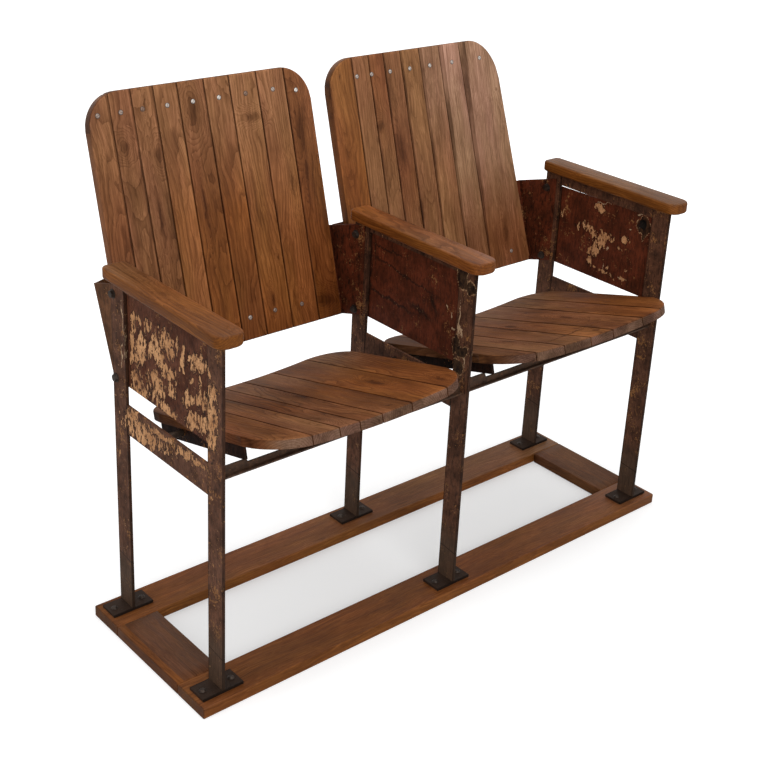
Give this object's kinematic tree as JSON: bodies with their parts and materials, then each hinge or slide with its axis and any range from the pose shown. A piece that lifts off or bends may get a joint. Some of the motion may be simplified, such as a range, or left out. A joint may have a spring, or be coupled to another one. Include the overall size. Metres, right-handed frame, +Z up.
{
  "type": "cinema chair",
  "caption": "Vintage cinema chair for two: slatted wooden backs and tip-up slatted seats between painted steel side frames with wooden armrests, on a low wooden base.",
  "frame": {"origin": "on the floor, under the middle of the chair's bounding box", "axes": "+X along the row to the right of someone facing the chair, the sitter looks along -Y, +Z up"},
  "size_m": [1.116, 0.5455, 0.9001],
  "materials": {
    "teak_base": "old teak plank, oiled, mid brown",
    "teak_base_dark": "old teak plank, darker brown",
    "teak_back": "reclaimed teak slat, satin oil finish",
    "teak_seat": "reclaimed teak slat, satin oil finish",
    "teak_arm": "teak board, rounded and oiled",
    "worn_paint": "old maroon-brown paint over rusty steel, flaked",
    "chipped_paint": "maroon-brown paint on sheet steel, chipped to a tan undercoat",
    "dark_steel": "blackened rusty steel strap",
    "worn_steel": "turned steel stud, worn bright where it rubs"
  },
  "bodies": {
    "chair": {"front_base_plank": "teak_base", "rear_base_plank": "teak_base", "left_base_plank": "teak_base_dark", "right_base_plank": "teak_base_dark", "left_side_frame": "worn_paint", "left_side_panel": "chipped_paint", "left_armrest": "teak_arm", "middle_side_frame": "worn_paint", "middle_side_panel": "chipped_paint", "middle_armrest": "teak_arm", "right_side_frame": "worn_paint", "right_side_panel": "chipped_paint", "right_armrest": "teak_arm", "back_1_left_bracket": "worn_paint", "back_1_right_bracket": "worn_paint", "back_1_slat_1": "teak_back", "back_1_slat_2": "teak_back", "back_1_slat_3": "teak_back", "back_1_slat_4": "teak_back", "back_1_slat_5": "teak_back", "back_1_slat_6": "teak_back", "back_1_slat_7": "teak_back", "back_1_slat_8": "teak_back", "back_1_slat_9": "teak_back", "back_1_top_strap": "dark_steel", "back_1_low_strap": "dark_steel", "back_2_left_bracket": "worn_paint", "back_2_right_bracket": "worn_paint", "back_2_slat_1": "teak_back", "back_2_slat_2": "teak_back", "back_2_slat_3": "teak_back", "back_2_slat_4": "teak_back", "back_2_slat_5": "teak_back", "back_2_slat_6": "teak_back", "back_2_slat_7": "teak_back", "back_2_slat_8": "teak_back", "back_2_top_strap": "dark_steel", "back_2_low_strap": "dark_steel", "seat_1_left_pivot_stud": "worn_steel", "seat_1_right_pivot_stud": "worn_steel", "seat_1_cross_bar": "dark_steel", "seat_2_left_pivot_stud": "worn_steel", "seat_2_right_pivot_stud": "worn_steel", "seat_2_cross_bar": "dark_steel"},
    "seat_1": {"seat_1_frame": "dark_steel", "seat_1_slat_1": "teak_seat", "seat_1_slat_2": "teak_seat", "seat_1_slat_3": "teak_seat", "seat_1_slat_4": "teak_seat", "seat_1_slat_5": "teak_seat", "seat_1_slat_6": "teak_seat", "seat_1_slat_7": "teak_seat"},
    "seat_2": {"seat_2_frame": "dark_steel", "seat_2_slat_1": "teak_seat", "seat_2_slat_2": "teak_seat", "seat_2_slat_3": "teak_seat", "seat_2_slat_4": "teak_seat", "seat_2_slat_5": "teak_seat", "seat_2_slat_6": "teak_seat", "seat_2_slat_7": "teak_seat"}
  },
  "joints": [
    {"name": "seat_1_tip", "type": "hinge", "parent": "chair", "child": "seat_1", "pos_m": [-0.258, -0.01005, 0.399], "axis": [-1, 0, 0], "range_deg": [0, 75]},
    {"name": "seat_2_tip", "type": "hinge", "parent": "chair", "child": "seat_2", "pos_m": [0.254, -0.01005, 0.399], "axis": [-1, 0, 0], "range_deg": [0, 75]}
  ]
}
